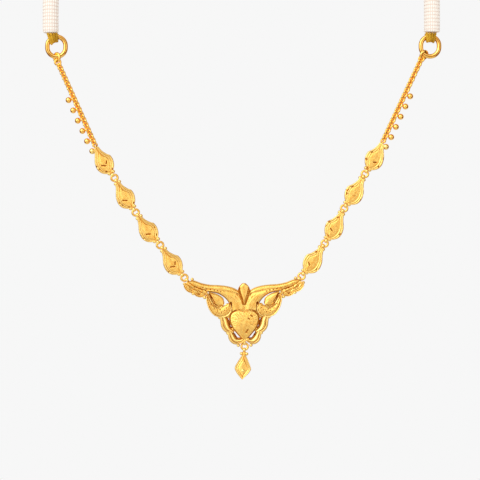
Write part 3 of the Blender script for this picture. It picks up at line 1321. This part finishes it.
def heart_strokes():
    """Fine strokes in rings, each towards the heart's centre and a little out of its even place."""
    draw = np.random.default_rng(STROKE_SEED)
    strokes = []
    for ring, number in STROKE_RINGS:
        for j in range(number):
            a = np.radians(STROKE_FROM + STROKE_SPAN * (j + 0.5 + draw.uniform(-0.25, 0.25)) / number)
            far = ring + draw.uniform(-0.3, 0.3)
            strokes.append((far * np.cos(a), HEART_CENTRE[1] + far * np.sin(a), draw.uniform(0.5, 0.9),
                            np.degrees(a), STROKE_WIDTH, STROKE_DEPTH))
    return strokes


def polar(points, centre):
    """The angle and distance of each point from the centre."""
    off = points - centre
    return np.arctan2(off[:, 1], off[:, 0]), np.linalg.norm(off, axis=1)


def heart(shell, crown, back, place):
    """The domed heart: a rounded polished edge, fine strokes towards its middle and three nicks."""
    outline, centre = heart_outline(), np.array(HEART_CENTRE)
    angle, reach = polar(outline, centre)
    rise = crown - DOME_EDGE
    dome_r = (DOME_REACH ** 2 + rise ** 2) / (2 * rise)

    def dome(xy):
        return crown - dome_r + np.sqrt(dome_r ** 2 - ((xy - DOME_MIDDLE) ** 2).sum(-1))

    rows = [(1 - inset / reach, *rest) for inset, *rest in HEART_EDGE]
    inner = rows[-1][0]
    rows += [(inner * (1 - f), 0.0, 0.0, 0.0) for f in np.linspace(0, 1, HEART_ROWS + 2)[1:-1]]
    count, tip = len(outline), len(rows) * len(outline)
    points, masks, flat = [], [], []
    for scale, sink, groove, shine in rows:
        xy = centre + (outline - centre) * scale[:, None]
        h = np.full(count, -back) if sink is None else dome(xy) + sink
        points.append(np.column_stack([xy, h]))
        masks.append(np.tile([groove, shine, 0.0], (count, 1)))
        flat.append(np.column_stack([angle, reach * scale]))
    points.append([[*centre, dome(centre)]])
    masks.append([[0, 0, 0]])
    flat.append([[0, 0]])
    points, masks, flat = (np.concatenate(v) for v in (points, masks, flat))
    last = tip - count
    faces = net(len(rows), count) + [[tip, last + k, last + (k + 1) % count] for k in range(count)]
    faces.append(list(range(count))[::-1])
    order = np.argsort(angle)
    here, far = polar(points[:, :2], centre)
    field = far < np.interp(here, angle[order], reach[order]) - STROKE_INSET
    cut, tone = pressed(points.copy(), masks[:, 0] * 0, heart_strokes())
    points[field, 2] = cut[field, 2]
    masks[field, 0] = np.maximum(masks[field, 0], STROKE_TONE * tone[field])
    points, masks[:, 0] = pressed(points, masks[:, 0].copy(), HEART_NICKS)
    shell.add(place(points), faces, masks, flat)


def slab(shell, outline, low, high, place, groove):
    """A plain floor with the given outline, its top toned by groove."""
    n = len(outline)
    points = np.concatenate([np.column_stack([outline, np.full(n, h)]) for h in (low, high)])
    masks = np.zeros((2 * n, 3))
    masks[:n, 0], masks[n:, 0], masks[:n, 1] = 0.1, groove, 0.4
    shell.add(place(points), net(2, n) + [list(range(n)), list(range(n, 2 * n))], masks)


class NECKLACE_OT_pendant(bpy.types.Operator):
    """Makes the pendant: wings, leaves, buds, petal, scrolls, heart, granules and eyes"""
    bl_idname = "necklace.make_pendant"
    bl_label = "Make pendant"

    def execute(self, context):
        s, link = context.scene.necklace_pendant, context.scene.necklace_links
        top, back = s.leaf / MM, s.back / MM
        shell, laid = Shell(), []

        def style(high, *bands, **values):
            """A leaf of that height whose bands are each a width and the tone of its inner line."""
            heights = [high - BAND_SINK + BAND_RISE * i for i in range(len(bands))]
            return Relief([(wide, h, tone) for (wide, tone), h in zip(bands, heights)], high, back, **values)

        for sign in (1, -1):
            def place(p, sign=sign):
                p = np.asarray(p, float).copy()
                p[..., 0] *= sign
                return on_pendant(p)

            def add(rows, relief, marks=(), steps=8, dots=0.0):
                relief.back = back - BACK_STEP * len(laid)
                laid.append(rows)
                leaf(shell, rows, relief, place, steps, marks=marks, dots=dots)

            dark = style(0.5, (0.1, 1.0), edge=1.0, fine=2, soft=(True, True), tone=0.75)
            add(WING, style(top - 0.15, (0.3, 0.6), edge=0.9, fine=11, soft=(False, True)),
                WING_DOTS + END_SLITS + PETAL_LINES, 12, dots=0.6)
            add(SHOULDER, style(top + 0.1, (0.36, 0.7), edge=0.9, fine=16, soft=(True, True), lines=(2,)),
                heart_line() + PETAL_LINES + HOOK_LINE + WING_DOTS, 12)
            add(HOOK, style(top, (0.42, 0.85), edge=1.0, fine=14), BUD_SLOT + HOOK_DOTS, 14, dots=0.8)
            add(BUD, style(top + 0.25, (0.3, 0.95), edge=1.0, gutter=0.2, fine=12, lines=(4,)), BUD_SLOT, 12)
            for rows in (UPPER_SCROLL, LOWER_SCROLL):
                add(rows, style(top - 0.25, (0.8, 0.8), edge=1.0, gutter=0.16, depth=0.32, field_shine=0.7,
                                fine=8, soft=(True, False), lines=(0, 1, 2)))
                wider = [[x, y, *np.add(widths, GROUND_WIDER)] for x, y, *widths in rows]
                add(wider, dark, steps=6)
            for rows in (END_SCROLL, NEAR_SCROLL):
                add(rows, style(top - 0.25, (0.3, 0.9), edge=0.9, field_shine=0.4, fine=8), END_SLITS, 10)
            for x, y, end_x, end_y, wide in END_LUMPS:
                middle = [(x + end_x) / 2, (y + end_y) / 2, wide]
                rows = [[x, y, LUMP_END * wide], middle, [end_x, end_y, LUMP_END * wide]]
                add(rows, style(top, (0.3, 0.9), edge=0.9, field_shine=0.5, fine=7, soft=(True, True)))
            floor = style(0.44, (0.15, 1.0), edge=1.0, depth=0.04, fine=2, shine=0.0)
            for rows in (END_FLOOR, BUD_FLOOR, HOOK_FLOOR, SCROLL_FLOOR):
                add(rows, floor, steps=4)
            for x, y, d in GRANULES:
                ball(shell, place([x, y, GRANULE_RISE]), d)
        add(PETAL, style(top + 0.45, (0.16, 0.8), edge=1.0, gutter=0.1, fine=9))
        ground = PETAL_GROUND + [[-x, y] for x, y in PETAL_GROUND[::-1]]
        slab(shell, np.array(ground), 0.3, top + 0.25, on_pendant, 1.0)
        add(PETAL_FLOOR, style(0.79, (0.15, 0.9), edge=0.9, depth=0.04, fine=2), steps=4)
        leaf(shell, CROSSING, style(top + 0.1, (0.2, 0.3), edge=0.9, shine=1.0, field_shine=1.0), on_pendant)
        frame = (heart_outline() - DOME_MIDDLE) * FRAME_GROWTH + DOME_MIDDLE
        slab(shell, frame, -back, 0.45, on_pendant, 0.85)
        heart(shell, s.heart / MM, back - 0.1, on_pendant)
        for side in SIDES:
            hook = on_pendant(HOOKS[side], side)
            centre = hook + REACH[side] * lean(EYE_SLANT)
            link_eye(shell, centre, EYE_SLANT, link, side)
        link_eye(shell, on_pendant([0, PENDANT_FOOT]), 0, link)
        shell.piece("pendant_struck", material("struck_gold"), "necklace", ["pendant"], "satin_gold")
        return {"FINISHED"}


# The drop's plate and neck, with y down and up from the plate's top, its granules and its boss
DROP_ROWS = [[0, 0.6, 0.6], [1, 1.25, 1.25], [2.6, 2.1, 2.05], [4.2, 2.9, 2.8], [5.4, 3.1, 3.05],
             [6.9, 2.3, 2.2], [8.1, 1.25, 1.15], [9.2, 0.15, 0.15]]
DROP_NECK_ROWS = [[0, DROP_NECK - 0.4, 0.5], [0, 0.7, 0.7], [0, -0.3, 0.85]]
DROP_GRANULES = (1, 0.5, 0.15, 1.25)
DROP_BOSS, DROP_BOSS_D = (0, -5.9, 0.5), 1.7


class NECKLACE_OT_drop(bpy.types.Operator):
    """Makes the drop that hangs under the pendant"""
    bl_idname = "necklace.make_drop"
    bl_label = "Make drop"

    def execute(self, context):
        s = context.scene.necklace_links
        shell = Shell()
        start = DROP_AT + (REACH["left"] + DROP_NECK) * lean(DROP_SLANT)

        def place(p):
            return at(p, start, DROP_SLANT)

        high = s.rim_height / MM
        relief = Relief(((s.rim / MM * 0.85, high, 0.45), (0.4, high + 0.05, 0.2)), s.field / MM, s.back / MM,
                        edge=0.6, gutter=0.13, depth=0.2, fine=12)
        leaf(shell, [[0, -y, a, b] for y, a, b in DROP_ROWS], relief, place, 12, 0.3)
        neck = Relief(((0.2, 0.42, 0.2),), 0.5, s.back / MM - 0.03, depth=0.05)
        leaf(shell, DROP_NECK_ROWS, neck, place, 6, 0.2)
        link_eye(shell, DROP_AT + REACH["left"] * lean(DROP_SLANT), DROP_SLANT, s)
        granule_pair(shell, place, *DROP_GRANULES)
        ball(shell, place(np.array(DROP_BOSS)), DROP_BOSS_D)
        shell.piece("drop_struck", material("struck_gold"), "drop", ["drop"], "satin_gold")
        return {"FINISHED"}


# Stage

# The middle of the picture, in the front view
PICTURE_CENTRE = (-1.634, -133.15)
# The room as gold mirrors it: direction, cosines at which the light begins and is full, and strength
ROOM = (((-0.62, -0.62, 0.48), 0.66, 0.9, 0.9), ((-0.9, -0.42, 0.1), 0.8, 0.95, 0.35),
        ((0.57, -0.8, 0.15), 0.86, 0.96, 0.5), ((-0.12, -1.0, 0.12), 0.2, 0.9, 0.8),
        ((0.0, -0.2, 1.0), 0.5, 0.95, 0.3), ((0.0, -0.5, -0.9), 0.6, 0.95, 0.25),
        ((0.2, 0.95, 0.25), 0.1, 0.9, 0.72))
# A spot in front where that room is dimmer, and the soft light on thread, in the same way
DIM_SPOT = ((0.0, -1.0, -0.05), 0.9, 0.985, 0.55)
SOFT_LIGHT = ((-0.1, -1.0, 0.1), -0.3, 0.5, 0.5)
# Light from everywhere, for gold and for thread
GOLD_AMBIENT, THREAD_AMBIENT = 0.14, 0.51
# The colours of the room and of the soft light where they are dim
WARM_SHADE, SOFT_SHADE = (1.0, 0.55, 0.3, 1), (0.94, 0.86, 0.92, 1)
# The power of the room's light that mixes its colour: above 1, dim parts are warmer
SHADE_POWER = 1.5
WHITE = (1, 1, 1, 1)
# Lamps, with place and size in metres and power as a share of the main light's, and the height they look at
LAMPS = {"key": ((-0.6, -0.75, 0.4), 0.6, 1.0), "fill": ((0.6, -0.7, -0.05), 0.5, 0.15)}
LIT_HEIGHT = -0.12
FLOOR_MIDDLE, FLOOR_RADIUS, FLOOR_SIDES = (0, -0.06), 0.25, 96


def studio_world(brightness):
    """A pale backdrop, a soft light on thread, and for gold a room with soft boxes and warm dark sides."""
    made = bpy.data.worlds.new("studio")
    bpy.context.scene.world = made
    made.use_nodes = True
    made.cycles.sampling_method = "NONE"
    t = Tree(made.node_tree)
    t.tree.nodes.clear()
    way = t.add("ShaderNodeTexCoord").outputs["Generated"]

    def lobe(direction, low, high, strength):
        towards = tuple(Vector(direction).normalized())
        dot = t.add("ShaderNodeVectorMath", {0: way, 1: towards}, operation="DOT_PRODUCT").outputs["Value"]
        return t.math("MULTIPLY", t.mapped(dot, low, high), strength)

    light = 0.0
    for patch in ROOM:
        light = t.math("ADD", light, lobe(*patch))
    light = t.math("MULTIPLY", light, t.math("SUBTRACT", 1.0, lobe(*DIM_SPOT)))
    shade = t.mixed(t.math("POWER", t.math("MINIMUM", light, 1.0), SHADE_POWER), WARM_SHADE, WHITE)
    even = t.math("ADD", lobe(*SOFT_LIGHT), THREAD_AMBIENT)
    mirrored, soft, seen = (
        t.out("ShaderNodeBackground", {"Color": tone, "Strength": strength})
        for tone, strength in ((shade, t.math("ADD", light, GOLD_AMBIENT)),
                               (t.mixed(even, SOFT_SHADE, WHITE), even), (rgba((brightness,) * 3), 1.0)))
    path = t.add("ShaderNodeLightPath").outputs
    for gate, other in (("Is Diffuse Ray", soft), ("Is Camera Ray", seen)):
        mirrored = t.out("ShaderNodeMixShader", {0: path[gate], 1: mirrored, 2: other})
    t.add("ShaderNodeOutputWorld", {"Surface": mirrored})


class NECKLACE_OT_stage(bpy.types.Operator):
    """Sets the camera, the lights, the pale room and the floor"""
    bl_idname = "necklace.make_stage"
    bl_label = "Make stage"

    def execute(self, context):
        s, scene = context.scene.necklace_stage, context.scene
        scene.view_settings.view_transform = "Standard"
        studio_world(s.backdrop)
        camera = bpy.data.cameras.new("camera")
        camera.sensor_fit = "HORIZONTAL"
        camera.angle = 2 * np.arctan(s.field / 2 / s.distance)
        camera.clip_end = 20
        viewer = bpy.data.objects.new("camera", camera)
        x, z = (v * MM for v in PICTURE_CENTRE)
        viewer.location = (x, -FRONT_DEPTH * MM - s.distance, z)
        viewer.rotation_euler = (np.pi / 2, 0, 0)
        scene.collection.objects.link(viewer)
        scene.camera = viewer
        target = Vector((0, -FRONT_DEPTH * MM, LIT_HEIGHT))
        for name, (place, size, share) in LAMPS.items():
            light = bpy.data.lights.new(name, "AREA")
            light.size = size
            light.energy = s.key * share
            lamp = bpy.data.objects.new(name, light)
            lamp.location = place
            lamp.rotation_euler = (target - Vector(place)).to_track_quat("-Z", "Y").to_euler()
            scene.collection.objects.link(lamp)
        mesh = bpy.data.meshes.new("floor")
        x, y = FLOOR_MIDDLE
        rim = [(x + FLOOR_RADIUS * np.cos(a), y + FLOOR_RADIUS * np.sin(a), s.floor)
               for a in circle(FLOOR_SIDES)]
        mesh.from_pydata(rim, [], [list(range(FLOOR_SIDES))])
        floor = bpy.data.objects.new("floor", mesh)
        plain, _, shader = new_material("floor")
        shader.inputs["Base Color"].default_value = (0.9, 0.9, 0.9, 1)
        shader.inputs["Roughness"].default_value = 0.8
        mesh.materials.append(plain)
        scene.collection.objects.link(floor)
        return {"FINISHED"}


class NECKLACE_PT_panel(bpy.types.Panel):
    """Lists the pieces of the necklace"""
    bl_label = "Necklace"
    bl_idname = "NECKLACE_PT_panel"
    bl_space_type = "VIEW_3D"
    bl_region_type = "UI"
    bl_category = "Necklace"

    def draw(self, context):
        for made in OPERATORS:
            self.layout.operator(made.bl_idname)
        for name, kind in SETTINGS.items():
            box = self.layout.box()
            for field in kind.__annotations__:
                box.prop(getattr(context.scene, name), field)


SETTINGS = {"necklace_cord": CordSettings, "necklace_metal": MetalSettings,
            "necklace_chain": ChainSettings, "necklace_links": LinkSettings,
            "necklace_pendant": PendantSettings, "necklace_stage": StageSettings}
OPERATORS = (NECKLACE_OT_cord, NECKLACE_OT_thread_loops, NECKLACE_OT_rings, NECKLACE_OT_chains,
             NECKLACE_OT_tear_links, NECKLACE_OT_pendant, NECKLACE_OT_drop, NECKLACE_OT_stage)


CLASSES = (*SETTINGS.values(), *OPERATORS, NECKLACE_PT_panel)


def register():
    for made in CLASSES:
        bpy.utils.register_class(made)
    for name, kind in SETTINGS.items():
        setattr(bpy.types.Scene, name, PointerProperty(type=kind))


def unregister():
    for name in SETTINGS:
        delattr(bpy.types.Scene, name)
    for made in reversed(CLASSES):
        bpy.utils.unregister_class(made)


def main():
    register()
    ops = bpy.ops.necklace
    for make in (ops.make_cord, ops.make_thread_loops, ops.make_rings, ops.make_chains, ops.make_tear_links,
                 ops.make_pendant, ops.make_drop, ops.make_stage):
        make()


if __name__ == "__main__":
    main()
